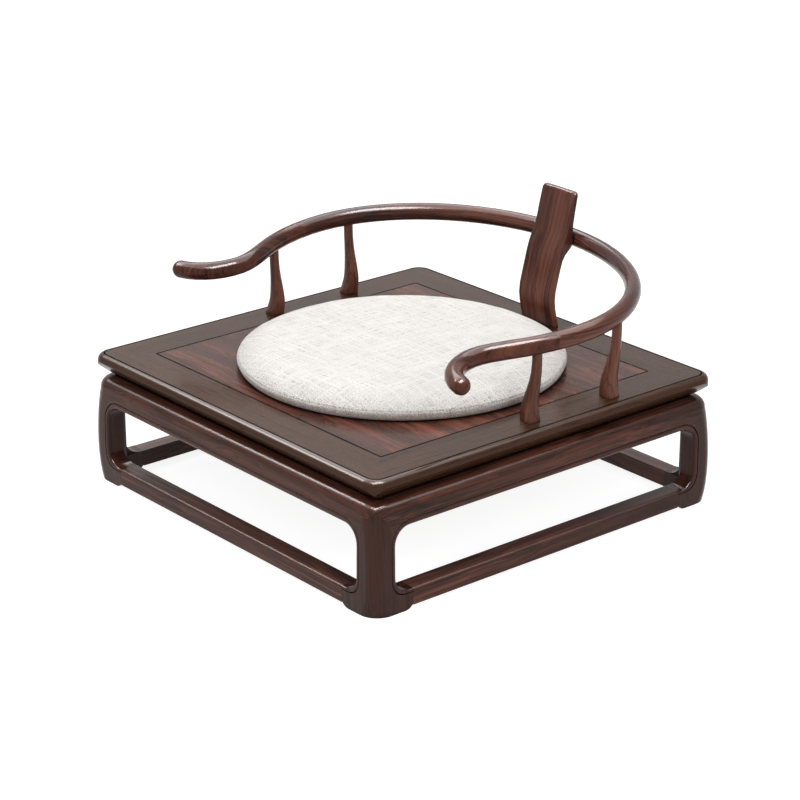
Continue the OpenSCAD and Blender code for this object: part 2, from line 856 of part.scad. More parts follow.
// the right arm of the rail with its rounded hand end
module rail_arm_form() {
    loft(concat(
        [rail_ring(1)], lap_rings,
        [for (k = [7:9]) rail_ring(1 + k / 9)],
        [for (k = [1:7]) rail_ring(2 + k / 7)],
        [for (a = [22.5, 45, 65, 82]) rail_ring(3, cos(a), rail_r * sin(a))]
    ));
}

// local axes of the right scarf: X along the rail, Y to the outer side
module at_scarf() {
    at = rail_plan(scarf_q);
    translate([at[0], at[1], rail_z(scarf_q)]) rotate(rail_turn(scarf_q)) children();
}
block = 60;
module scarf_peg(grow) {
    span(
        [-peg_w / 2 - grow, -peg_w / 2 - grow, -(grow > 0 ? block : 0.9 * rail_r)],
        [peg_w / 2 + grow, peg_w / 2 + grow, peg_over + (grow > 0 ? end_room : 0)]
    );
}

// mortises in the rail for post tenons and the splat peg
module rail_mortises() {
    for (q = [front_post_q, rear_post_q]) let (at = rail_plan(q))
        translate([at[0], at[1], rail_z(q)]) rotate(rail_turn(q)) span(
            [-rail_tenon / 2 - fit, -rail_tenon / 2 - fit, -block],
            [rail_tenon / 2 + fit, rail_tenon / 2 + fit, past_axis + end_room]
        );
}

module arm_rail_back() {
    color([0.27, 0.13, 0.10]) placed() difference() {
        rail_back_form();
        for (s = [0, 1]) mirror([s, 0, 0]) {
            at_scarf() {
                span([scarf_l / 2, -block, -block], [3 * block, block, block]);
                span([-scarf_l / 2, -block, -block], [block, 0, block]);
                scarf_peg(fit);
            }
            rail_mortises();
        }
        splat_peg_form(fit, end_room);
    }
}

module arm_rail_right_form() {
    difference() {
        rail_arm_form();
        at_scarf() {
            span([-3 * block, -block, -block], [-scarf_l / 2, block, block]);
            span([-block, 0, -block], [scarf_l / 2, block, block]);
            scarf_peg(fit);
        }
        rail_mortises();
    }
}

module arm_rail_right() {
    color([0.32, 0.14, 0.10]) placed() arm_rail_right_form();
}
module arm_rail_left() {
    color([0.32, 0.14, 0.10]) placed() mirror([1, 0, 0]) arm_rail_right_form();
}

module scarf_pegs() {
    color([0.20, 0.10, 0.08]) placed() for (s = [0, 1]) mirror([s, 0, 0]) at_scarf() scarf_peg(0);
}

/* Arm posts */

post_sides = 16;
// height k of a post runs from 0 at the seat to 1 at the rail axis
function post_at(q, k) = let (at = rail_plan(q)) [
    at[0] - smooth([
        [0, post_in], [0.07, post_in + 0.5 * post_sway], [0.2, post_in + post_sway],
        [0.3, post_in + 0.6 * post_sway], [0.42, 0.9 * post_in], [0.55, 0.45 * post_in],
        [0.68, 0.12 * post_in], [0.8, 0], [1, 0]
    ], k),
    at[1] - post_ahead * smooth([[0, 1], [0.07, 0.92], [0.2, 0.52], [0.42, 0.14], [0.6, 0], [1, 0]], k)
];
function post_half(k) = post_r + (post_foot - post_r) * smooth([
    [0, 1], [0.07, 0.915], [0.13, 0.81], [0.21, 0.67], [0.3, 0.52], [0.42, 0.35], [0.55, 0.17],
    [0.68, 0.06], [0.8, 0.01], [1, 0]
], k);
function post_ring(q, k) = let (
    at = post_at(q, k), r = post_half(k), n = 2 + 3 * pow(max(1 - 1.6 * k, 0), 1.5),
    top = rail_z(q) - seat_h
) [for (j = [0:post_sides - 1]) let (
    a = 360 * j / post_sides, f = r * pow(pow(abs(cos(a)), n) + pow(abs(sin(a)), n), -1 / n)
) [at[0] + f * cos(a), at[1] + f * sin(a), seat_h + top * k]];

module post_tenon_at(q, grow, room) {
    at = post_at(q, 0);
    span(
        [at[0] - post_tenon / 2 - grow, at[1] - post_tenon / 2 - grow, seat_h - seat_tenon_l - room],
        [at[0] + post_tenon / 2 + grow, at[1] + post_tenon / 2 + grow, seat_h + over]
    );
}

post_rows = [0, 0.035, 0.07, 0.12, 0.18, 0.25, 0.33, 0.42, 0.52, 0.63, 0.76, 0.88, 1];
module post(q) {
    at = rail_plan(q);
    difference() {
        loft([for (k = post_rows) post_ring(q, k)]);
        if (q < 1) rail_back_form(); else rail_arm_form();
    }
    post_tenon_at(q, 0, 0);
    translate([at[0], at[1], rail_z(q)]) rotate(rail_turn(q)) span(
        [-rail_tenon / 2, -rail_tenon / 2, -rail_r - 2 * over], [rail_tenon / 2, rail_tenon / 2, past_axis]
    );
}

module placed_post(q, s) {
    color([0.25, 0.12, 0.10]) placed() mirror([s, 0, 0]) post(q);
}
module post_front_right() {
    placed_post(front_post_q, 0);
}
module post_front_left() {
    placed_post(front_post_q, 1);
}
module post_rear_right() {
    placed_post(rear_post_q, 0);
}
module post_rear_left() {
    placed_post(rear_post_q, 1);
}

/* Back splat */

// front face as [height, distance in front of the rail axis], both in rail heights
splat_front = [
    [0, 0.382], [0.19, 0.428], [0.38, 0.44], [0.64, 0.379], [0.79, 0.338], [0.94, 0.288], [1.08, 0.216],
    [1.18, 0.184], [1.36, 0.143], [1.52, 0.1], [1.6, 0.079]
];
// thickness at these heights as a share of splat_t; the splat swells into a bracket under the rail
splat_thick = [
    [0, 1], [0.64, 1], [0.78, 1.06], [0.87, 1.5], [0.93, 2.15], [1.0, 2], [1.08, 1.45], [1.14, 1.1],
    [1.3, 0.95], [1.5, 0.78], [1.6, 0.65]
];
splat_top = rail_up + splat_over;
function splat_ring(z, narrow = 0, thin = 0) = let (
    k = z / rail_up, w = splat_w / 2 - narrow,
    f = rail_y - rail_up * smooth(splat_front, k) + thin, t = splat_t * smooth(splat_thick, k) - 2 * thin,
    b = min(splat_bevel, 0.4 * t)
) [for (p = [
    [-1, b], [-1 + 0.04, 0.5 * b], [-1 + 2 * splat_margin / splat_w, 0], [-0.4, 0.07 * t], [0, 0.1 * t],
    [0.4, 0.07 * t], [1 - 2 * splat_margin / splat_w, 0], [1 - 0.04, 0.5 * b], [1, b],
    [1, 0.8 * t], [0.93, t], [0.45, t], [-0.45, t], [-0.93, t], [-1, 0.8 * t]
]) [w * p[0], f + p[1], seat_h + z]];

module splat_tenon(grow, room) {
    mid = rail_y - rail_up * splat_front[0][1] + splat_t / 2;
    wide = splat_tenon_w / 2 + grow;
    thick = splat_tenon_t / 2 + grow;
    span([-wide, mid - thick, seat_h - seat_tenon_l - room], [wide, mid + thick, seat_h + over]);
}

// square peg from the splat back into the rail, with this much wood left in front of it
splat_peg_cover = 8;
module splat_peg_form(grow, room) {
    front = rail_y - rail_up * smooth(splat_front, 1) + splat_peg_cover;
    side = splat_peg_w / 2 + grow;
    span(
        [-side, front - room, seat_h + rail_up - side],
        [side, rail_y + past_axis + room, seat_h + rail_up + side]
    );
}

module splat_peg() {
    color([0.20, 0.10, 0.08]) placed() splat_peg_form(0, 0);
}

// heights of the splat's rings: below, along and above the bracket, up to the rounded top edge
splat_round = 6;
bracket_from = 0.64 * rail_up;
bracket_to = 1.12 * rail_up;
splat_rows = concat(
    [for (k = [0:6]) bracket_from * k / 6],
    [for (k = [1:7]) bracket_from + (bracket_to - bracket_from) * k / 7],
    [for (k = [1:4]) bracket_to + (splat_top - splat_round - bracket_to) * k / 4]
);

module back_splat() {
    color([0.28, 0.13, 0.10]) placed() {
        difference() {
            loft(concat(
                [for (z = splat_rows) splat_ring(z)],
                [for (r = [[0.42, 0.23, 0.07], [0.13, 0.57, 0.2], [0, 1, 0.4]])
                    splat_ring(splat_top - splat_round * r[0], splat_round * r[1], splat_round * r[2])]
            ));
            rail_back_form();
            splat_peg_form(fit, end_room);
        }
        splat_tenon(0, 0);
    }
}

/* Cushion */

cushion_r = cushion_dia / 2;
side_h = cushion_t - crown;
cushion_sides = 56;
// the cushion lies just in front of the splat, measured from the seat centre
cushion_y = rail_y - rail_up * max([for (p = splat_front) p[1]]) - splat_room - cushion_r;
// section from the underside out over the seam to the crown, as [radius, height]
cushion_line = [
    [cushion_r - cushion_round, 0], [cushion_r - 0.42 * cushion_round, 0.1 * side_h],
    [cushion_r - 0.1 * cushion_round, 0.35 * side_h], [cushion_r, 0.6 * seam_up],
    [cushion_r - 0.08 * cushion_round, seam_up], [cushion_r - 0.42 * cushion_round, side_h - 0.12 * crown],
    [cushion_r - cushion_round, side_h + 0.15 * crown],
    [cushion_r - 2 * cushion_round, side_h + 0.4 * crown], [0.76 * cushion_r, side_h + 0.7 * crown],
    [0.5 * cushion_r, side_h + 0.9 * crown], [0.2 * cushion_r, side_h + crown]
];

module cushion() {
    color([0.86, 0.84, 0.79]) placed() translate([0, cushion_y, seat_h + lay_gap])
        loft([for (p = cushion_line)
            [for (j = [0:cushion_sides - 1]) let (a = 360 * j / cushion_sides)
                [p[0] * cos(a), p[0] * sin(a), p[1]]]]);
}

seat_frame_front();
seat_frame_back();
seat_frame_left();
seat_frame_right();
seat_panel();
batten_left();
batten_middle();
batten_right();
waist_front();
waist_back();
waist_left();
waist_right();
apron_front();
apron_back();
apron_left();
apron_right();
leg_front_left();
leg_front_right();
leg_back_left();
leg_back_right();
stretcher_front();
stretcher_back();
stretcher_left();
stretcher_right();
arm_rail_back();
arm_rail_left();
arm_rail_right();
scarf_pegs();
back_splat();
splat_peg();
post_front_left();
post_front_right();
post_rear_left();
post_rear_right();
cushion();
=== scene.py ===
# Low rosewood meditation chair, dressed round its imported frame.
# Metres; the front is -Y, up is +Z and the floor is z = 0.
import math

import bmesh
import bpy
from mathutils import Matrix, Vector, noise


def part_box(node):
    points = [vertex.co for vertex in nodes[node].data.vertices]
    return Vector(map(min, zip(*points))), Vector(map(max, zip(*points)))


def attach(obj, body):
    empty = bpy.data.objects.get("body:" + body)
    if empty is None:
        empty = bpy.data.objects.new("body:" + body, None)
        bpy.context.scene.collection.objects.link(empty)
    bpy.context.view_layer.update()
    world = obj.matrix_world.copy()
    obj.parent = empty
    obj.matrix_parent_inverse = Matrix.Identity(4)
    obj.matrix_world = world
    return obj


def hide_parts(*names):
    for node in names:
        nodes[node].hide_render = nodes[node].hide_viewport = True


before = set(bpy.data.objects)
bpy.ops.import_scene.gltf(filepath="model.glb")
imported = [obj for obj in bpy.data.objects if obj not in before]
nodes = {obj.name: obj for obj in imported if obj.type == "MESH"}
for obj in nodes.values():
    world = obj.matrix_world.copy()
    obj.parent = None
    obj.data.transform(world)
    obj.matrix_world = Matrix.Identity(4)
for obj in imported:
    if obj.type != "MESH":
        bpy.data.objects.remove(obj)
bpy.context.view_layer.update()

# Legs
# Four corner posts of solid rosewood, cut from one square baulk each: bellied outside, with a spread
# foot and a bead worked along the opening. A tenon goes up into the corner of the seat frame.


def add_node(tree, kind, inputs=None, **settings):
    """One shader node; its inputs go by name or number and are plain values or links."""
    made = tree.nodes.new("ShaderNode" + kind)
    for key, value in settings.items():
        setattr(made, key, value)
    for key, value in (inputs or {}).items():
        if isinstance(value, bpy.types.NodeSocket):
            tree.links.new(value, made.inputs[key])
        else:
            made.inputs[key].default_value = value
    return made


def calc(tree, operation, *values):
    """One sum: ADD, MULTIPLY and so on."""
    made = add_node(tree, "Math", dict(enumerate(values)), operation=operation)
    return made.outputs[0]


def stretched(tree, value, low, high, new_low=0.0, new_high=1.0):
    """The value moved from low..high to new_low..new_high, and held at both ends."""
    made = add_node(tree, "MapRange", {0: value, 1: low, 2: high, 3: new_low, 4: new_high})
    return made.outputs[0]


def ramp(tree, value, stops):
    """A colour for each value; a stop's colour may be one number, for a grey."""
    made = add_node(tree, "ValToRGB", {"Fac": value})
    band = made.color_ramp
    while len(band.elements) < len(stops):
        band.elements.new(0.5)
    for element, (place, color) in zip(band.elements, stops):
        element.position = place
        element.color = (*color, 1.0) if isinstance(color, tuple) else (color, color, color, 1.0)
    return made.outputs["Color"]


def times(tree, first, second):
    """Two colours multiplied. Inputs 0, 6 and 7 of a mix node are its share and its two colours."""
    colors = {0: 1.0, 6: first, 7: second}
    return add_node(tree, "Mix", colors, data_type="RGBA", blend_type="MULTIPLY").outputs[2]


def grain_upright(tree, x, y, z):
    """A grain puts a place in its own order: first the value along it, then the two across."""
    return z, x, y


def place_in_piece(tree):
    """The place being coloured, as x, y and z in metres."""
    point = add_node(tree, "TexCoord").outputs["Object"]
    return add_node(tree, "SeparateXYZ", {"Vector": point}).outputs


def place_on_wood(tree, grain, shift):
    """Place along the grain and across it; the shift gives each piece its own stretch of wood."""
    x, y, z = place_in_piece(tree)
    place = add_node(tree, "CombineXYZ", dict(enumerate(grain(tree, x, y, z)))).outputs[0]
    moved_on = (shift, 2 * shift, -shift)
    return add_node(tree, "VectorMath", {0: place, 1: moved_on}, operation="ADD").outputs[0]


def new_finish(name):
    """A new material, with its node tree and its shader."""
    material = bpy.data.materials.new(name)
    material.use_nodes = True
    return material, material.node_tree, material.node_tree.nodes["Principled BSDF"]


def rosewood(name, grain, tones, shift=0.0, bands=0.6, streaks=0.45, sway=1.0, gloss=0.2, level=0.16):
    """Lacquered rosewood: bands, streaks that come and go, dark veins, pores, and painted shade in every
    crevice.

    bands and streaks say how strong these are, sway how far the figure wanders, gloss how rough the
    lacquer is and level how strongly it mirrors. Each layer of the figure has two numbers for how often
    it changes in a metre, along the grain and across it.
    """
    material, tree, shader = new_finish(name)
    dark, middle, light = tones
    place = place_on_wood(tree, grain, shift)

    def layer(source, along, across, detail, roughness=0.55):
        scaled = add_node(tree, "Mapping", {"Vector": source, "Scale": (along, across, across)})
        made = add_node(tree, "TexNoise", {
            "Vector": scaled.outputs["Vector"], "Scale": 1.0, "Detail": detail, "Roughness": roughness,
        })
        return made.outputs["Fac"]

    def swing(value, size):
        return calc(tree, "MULTIPLY", calc(tree, "SUBTRACT", value, 0.5), size)

    # the whole figure wanders sideways by about a centimetre, so nothing in it runs dead straight
    wander = swing(layer(place, 2.6, 11, 2.0), 0.05 * sway)
    aside = add_node(tree, "CombineXYZ", {1: wander, 2: wander}).outputs[0]
    swayed = add_node(tree, "VectorMath", {0: place, 1: aside}, operation="ADD").outputs[0]

    band = layer(swayed, 1.4, 30, 3.0)
    streak = layer(swayed, 2.2, 150, 4.0, 0.6)
    fibre = layer(swayed, 8, 600, 2.0)
    patch = stretched(tree, layer(place, 4.0, 14, 1.0), 0.38, 0.66, 0.35, 1.5)
    fine = calc(tree, "ADD", swing(streak, streaks), swing(fibre, 0.4 * streaks))
    tone = calc(tree, "ADD", swing(band, bands), calc(tree, "MULTIPLY", fine, patch))
    wood = ramp(tree, calc(tree, "ADD", tone, 0.5), [(0.36, dark), (0.5, middle), (0.66, light)])

    # a vein is dark where its layer crosses the middle, a pore where its own is low
    vein = calc(tree, "ABSOLUTE", swing(layer(swayed, 1.5, 55, 3.0), 1.0))
    pore = layer(place, 60, 1500, 2.0)
    wood = times(tree, wood, ramp(tree, vein, [(0.0, 0.5), (0.009, 0.72), (0.026, 1.0)]))
    wood = times(tree, wood, ramp(tree, pore, [(0.28, 0.6), (0.40, 1.0)]))

    # painted shade: the colour is darkened by ambient occlusion within 6 mm of an inner corner
    crevice_shade = add_node(tree, "AmbientOcclusion", {"Distance": 0.006}, samples=6).outputs["AO"]
    wood = times(tree, wood, ramp(tree, crevice_shade, [(0.2, 0.05), (0.6, 0.55), (0.92, 1.0)]))
    tree.links.new(wood, shader.inputs["Base Color"])

    rough = stretched(tree, streak, 0.3, 0.7, gloss + 0.03, gloss - 0.03)
    tree.links.new(rough, shader.inputs["Roughness"])
    relief = calc(tree, "ADD", streak, fibre)
    bump = add_node(tree, "Bump", {"Height": relief, "Strength": 0.05, "Distance": 0.0003})
    tree.links.new(bump.outputs["Normal"], shader.inputs["Normal"])
    shader.inputs["Specular IOR Level"].default_value = level
    return material


arris_angle = math.radians(32)


def smooth_by_angle(name, angle):
    """Geometry nodes that drop the CAD mesh's own normals and shade it smooth up to that angle."""
    group = bpy.data.node_groups.new(name, "GeometryNodeTree")
    group.interface.new_socket("Geometry", in_out="INPUT", socket_type="NodeSocketGeometry")
    group.interface.new_socket("Geometry", in_out="OUTPUT", socket_type="NodeSocketGeometry")
    entry = group.nodes.new("NodeGroupInput")
    leave = group.nodes.new("NodeGroupOutput")
    drop = group.nodes.new("GeometryNodeRemoveAttribute")
    drop.inputs["Name"].default_value = "custom_normal"
    faces = group.nodes.new("GeometryNodeSetShadeSmooth")
    edges = group.nodes.new("GeometryNodeSetShadeSmooth")
    edges.domain = "EDGE"
    edges.inputs["Shade Smooth"].default_value = False
    turn = group.nodes.new("GeometryNodeInputMeshEdgeAngle")
    sharp = group.nodes.new("FunctionNodeCompare")
    sharp.operation = "GREATER_THAN"
    sharp.inputs[1].default_value = angle
    link = group.links.new
    link(entry.outputs[0], drop.inputs["Geometry"])
    link(drop.outputs[0], faces.inputs["Geometry"])
    link(faces.outputs[0], edges.inputs["Geometry"])
    link(turn.outputs["Unsigned Angle"], sharp.inputs[0])
    link(sharp.outputs[0], edges.inputs["Selection"])
    link(edges.outputs[0], leave.inputs[0])
    return group


smooth_shading = smooth_by_angle("smooth apart from arrises", arris_angle)


def dress(name, material, arris=0.0006):
    """A CAD piece keeps its shape and gets its wood, and its arrises are eased by a hair.

    Double points are welded first, and flat faces stay flat to the light beside eased arrises.
    """
    piece = nodes[name]
    piece.data.materials.clear()
    piece.data.materials.append(material)
    weld = piece.modifiers.new("weld", "WELD")
    weld.merge_threshold = 0.00002
    ease = piece.modifiers.new("eased arrises", "BEVEL")
    ease.width = arris
    ease.segments = 2
    ease.limit_method = "ANGLE"
    ease.angle_limit = arris_angle
    ease.use_clamp_overlap = True
    smooth = piece.modifiers.new("smooth", "NODES")
    smooth.node_group = smooth_shading
    fair = piece.modifiers.new("fair normals", "WEIGHTED_NORMAL")
    fair.mode = "FACE_AREA"
    fair.keep_sharp = True


leg_tones = ((0.025, 0.008, 0.006), (0.062, 0.022, 0.015), (0.140, 0.049, 0.030))
mitred_arris = 0.0002
for k, corner in enumerate(("front_left", "front_right", "back_left", "back_right")):
    leg_wood = rosewood(
        "leg rosewood " + corner, grain_upright, leg_tones, shift=1.7 * k, bands=0.3, streaks=0.4,
    )
    dress("leg_" + corner, leg_wood, mitred_arris)

# Aprons
# Four rails of rosewood between the legs, each with a rounded shoulder, mitred over the legs and tenoned
# into them, so that shoulder and bead run on from rail to leg.


def grain_along_x(tree, x, y, z):
    return x, y, z


def grain_along_y(tree, x, y, z):
    return y, x, z


side_grain = (
    ("front", grain_along_x), ("back", grain_along_x), ("left", grain_along_y), ("right", grain_along_y),
)
apron_tones = ((0.025, 0.008, 0.006), (0.070, 0.024, 0.015), (0.170, 0.056, 0.033))
for k, (side, grain) in enumerate(side_grain):
    apron_wood = rosewood(
        "apron rosewood " + side, grain, apron_tones, shift=4.3 + k, bands=0.4, streaks=0.5,
    )
    dress("apron_" + side, apron_wood, mitred_arris)

# Stretchers
# Four rosewood bars of the base frame, tenoned between the feet, their upper outer edge rounded over;
# redder than the legs, more strongly streaked, and rubbed rather than polished.

stretcher_tones = ((0.020, 0.007, 0.005), (0.072, 0.026, 0.018), (0.190, 0.074, 0.050))
for k, (side, grain) in enumerate(side_grain):
    stretcher_wood = rosewood(
        "stretcher rosewood " + side, grain, stretcher_tones, shift=9.1 + k, streaks=0.7, gloss=0.36,
    )
    dress("stretcher_" + side, stretcher_wood)

# Waist
# Four thin strips of dark wood, set back between seat frame and aprons and held by tongues in
# both; their colour is painted nearly black as the shade under the seat.

# painted shade: these tones are set near black to stand for the shade under the seat
waist_shade_tones = ((0.005, 0.002, 0.002), (0.012, 0.005, 0.004), (0.024, 0.010, 0.007))
for k, (side, grain) in enumerate(side_grain):
    waist_wood = rosewood("waist rosewood " + side, grain, waist_shade_tones, shift=14 + k)
    dress("waist_" + side, waist_wood, arris=0.0003)

# Seat frame
# Four wide members mitred at the corners with hidden tenons; a lip and one incised line run round the
# edge, and the underside draws in to the waist. Painted shade lies, nearly black, in line and joint.

frame_tones = ((0.034, 0.014, 0.008), (0.060, 0.026, 0.013), (0.094, 0.042, 0.022))
for k, (side, grain) in enumerate(side_grain):
    member_wood = rosewood(
        "seat frame rosewood " + side, grain, frame_tones,
        shift=19.3 + k, bands=0.3, streaks=0.18, sway=0.6, level=0.12,
    )
    dress("seat_frame_" + side, member_wood, mitred_arris)

seat_low = Vector((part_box("seat_frame_left")[0].x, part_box("seat_frame_front")[0].y))
seat_high = Vector((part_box("seat_frame_right")[1].x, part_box("seat_frame_back")[1].y))
seat_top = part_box("seat_panel")[1].z
# painted shade: a near-black finish without reflection, for strips laid in the incised line and the panel
# joint
groove_shade, tree, shader = new_finish("painted groove shade")
shader.inputs["Base Color"].default_value = (0.010, 0.005, 0.004, 1)
shader.inputs["Roughness"].default_value = 1.0
shader.inputs["Specular IOR Level"].default_value = 0.0
shade_line_w = 0.0026
shade_line_proud = 0.00006


def add_object(name, data):
    """A new object in the scene, at the origin."""
    made = bpy.data.objects.new(name, data)
    bpy.context.scene.collection.objects.link(made)
    return made


def rounded_square(inset, corner_r, height, steps=12):
    """Points round the seat, that far in from its widest line, with rounded corners."""
    low = seat_low + Vector((inset + corner_r, inset + corner_r))
    high = seat_high - Vector((inset + corner_r, inset + corner_r))
    places = []
    for quarter, (x, y) in enumerate(((high.x, high.y), (low.x, high.y), (low.x, low.y), (high.x, low.y))):
        for k in range(steps + 1):
            turn = math.radians(90 * (quarter + k / steps))
            places.append((x + corner_r * math.cos(turn), y + corner_r * math.sin(turn), height))
    return places


def painted_shade_line(name, inset, corner_r):
    """A flat closed strip of painted shade round the seat top, near black and without reflection, its
    middle that far in.
    """
    half = shade_line_w / 2
    outer = rounded_square(inset - half, corner_r + half, seat_top + shade_line_proud)
    inner = rounded_square(inset + half, corner_r - half, seat_top + shade_line_proud)
    around = len(outer)
    faces = [(k, (k + 1) % around, around + (k + 1) % around, around + k) for k in range(around)]
    mesh = bpy.data.meshes.new(name)
    mesh.from_pydata(outer + inner, [], faces)
    mesh.materials.append(groove_shade)
    strip = add_object(name, mesh)
    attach(strip, "chair")


line_in = 0.011
seat_round_r = 0.028
painted_shade_line("incised_line", line_in, seat_round_r - line_in)

# Seat panel and battens
# One floating board, redder than the frame and with a wilder figure, its tongue in the frame's groove.
# Three battens are dovetailed into it from below and tenoned into the front and back members.

panel_tones = ((0.034, 0.012, 0.008), (0.088, 0.030, 0.019), (0.255, 0.080, 0.046))
panel_wood = rosewood(
    "seat panel rosewood", grain_along_x, panel_tones,
    shift=27.3, bands=0.5, streaks=0.32, sway=2.4, level=0.14,
)
dress("seat_panel", panel_wood, arris=0.0003)
member_w = 0.074
panel_gap = 0.0006
panel_corner_r = 0.0014
painted_shade_line("panel_joint", member_w + panel_gap / 2, panel_corner_r)
batten_tones = ((0.020, 0.010, 0.007), (0.055, 0.027, 0.019), (0.095, 0.050, 0.036))
batten_wood = rosewood("batten rosewood", grain_along_y, batten_tones, shift=28.4)
for side in ("left", "middle", "right"):
    dress("batten_" + side, batten_wood)

# Arm posts
# Four slim posts of rosewood, round under the rail and spreading to a squared foot, with a round tenon
# at both ends.

post_tones = ((0.055, 0.019, 0.012), (0.130, 0.048, 0.030), (0.220, 0.085, 0.054))
for k, corner in enumerate(("front_left", "front_right", "rear_left", "rear_right")):
    post_wood = rosewood(
        "post rosewood " + corner, grain_upright, post_tones, shift=31 + 1.3 * k, sway=0.5,
    )
    dress("post_" + corner, post_wood)

# Arm rail
# A horseshoe of round section in three lengths, sawn from the solid and joined by pegged scarfs just
# behind the front posts; the hand ends curl outwards.

curve_y = 0.078
curve_rx = 0.3305
curve_ry = 0.266
bend_share = 0.15


def grain_round_curve(tree, x, y, z):
    """The back length is part of an ellipse round x = 0, y = curve_y, and its grain follows it."""
    side = calc(tree, "DIVIDE", x, curve_rx)
    back = calc(tree, "DIVIDE", calc(tree, "SUBTRACT", y, curve_y), curve_ry)
    squares = calc(tree, "ADD", calc(tree, "POWER", side, 2.0), calc(tree, "POWER", back, 2.0))
    along = calc(tree, "MULTIPLY", calc(tree, "ARCTAN2", side, back), curve_rx)
    return along, calc(tree, "MULTIPLY", calc(tree, "SQRT", squares), curve_rx), z


def grain_in_arm(tree, x, y, z):
    """An arm dips and rises and its grain with it, so height counts for little."""
    return y, x, calc(tree, "MULTIPLY", z, bend_share)


rail_tones = ((0.022, 0.007, 0.005), (0.078, 0.026, 0.017), (0.180, 0.064, 0.040))
rail_wood = rosewood(
    "rail rosewood back", grain_round_curve, rail_tones, shift=37.2, streaks=0.8, sway=0.4,
)
dress("arm_rail_back", rail_wood)
arm_tones = ((0.026, 0.007, 0.005), (0.100, 0.030, 0.018), (0.200, 0.066, 0.038))
for k, side in enumerate(("left", "right")):
    arm_wood = rosewood(
        "rail rosewood " + side, grain_in_arm, arm_tones,
        shift=40.1 + k, bands=0.45, streaks=0.45, sway=0.3, gloss=0.15, level=0.13,
    )
    dress("arm_rail_" + side, arm_wood)
peg_tones = ((0.010, 0.005, 0.004), (0.030, 0.013, 0.010), (0.050, 0.020, 0.016))
peg_wood = rosewood("peg rosewood", grain_upright, peg_tones, shift=43)
dress("scarf_pegs", peg_wood)
dress("splat_peg", peg_wood)

# Back splat
# A rosewood board bent like an S, bevelled at both margins, that swells into a bracket behind and is
# pegged to the rail; its grain runs up.


def grain_in_splat(tree, x, y, z):
    """The splat's grain follows its bend, so depth counts for little."""
    return z, x, calc(tree, "MULTIPLY", y, bend_share)


splat_tones = ((0.034, 0.010, 0.007), (0.108, 0.037, 0.024), (0.215, 0.080, 0.050))
splat_wood = rosewood(
    "splat rosewood", grain_in_splat, splat_tones, shift=46.6, bands=0.5, streaks=0.5, sway=0.7,
)
dress("back_splat", splat_wood)

# Cushion
# A round pad of slubby undyed linen over foam: a crowned top panel, a side band and a seam between
# them where the cloth is drawn in. It lies loose on the panel.

cushion_low, cushion_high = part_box("cushion")
cushion_r = (cushion_high.x - cushion_low.x) / 2
cushion_middle = (cushion_low + cushion_high) / 2
cushion_base = cushion_low.z
cushion_t = cushion_high.z - cushion_low.z
seam_up = 0.42 * cushion_t
band_stop = 0.0012  # the band's last ring lies this far below the seam
lower_round = 0.010  # how far the band draws in below
shoulder = 0.040  # this far in from the seam the top has risen most of its way
swelling = 0.005
unevenness = 0.0006
even_below = 0.004  # no unevenness on the underside, all of it from this height
cushion_sides = 200
band_steps = 10
top_steps = 38


def cushion_section():
    """Section before stuffing, as (radius, height) from the underside to the crown, and the seam's row.

    The top is a quarter of an ellipse over the shoulder, with a slow rise to the crown.
    """
    wide = cushion_r - 0.4 * swelling  # a little small, because stuffing widens it
    line = [(wide * share, 0.0) for share in (0.06, 0.2, 0.35, 0.5, 0.64, 0.77, 0.87, 0.93)]
    for k in range(band_steps + 1):
        turn = math.radians(90 * k / band_steps)
        radius = wide - lower_round * (1 - math.sin(turn))
        line.append((radius, (seam_up - band_stop) * (1 - math.cos(turn))))
    line.append((wide, seam_up))
    seam_row = len(line) - 1
    for k in range(1, top_steps):
        share = (k / top_steps) ** 2.2
        over = 1 - min(wide * share / shoulder, 1)
        rise = 0.86 * (1 - over ** 2) ** 0.5 + 0.14 * math.sin(math.radians(90 * share))
        line.append((wide * (1 - share), seam_up + (cushion_t - swelling - seam_up) * rise))
    return line, seam_row


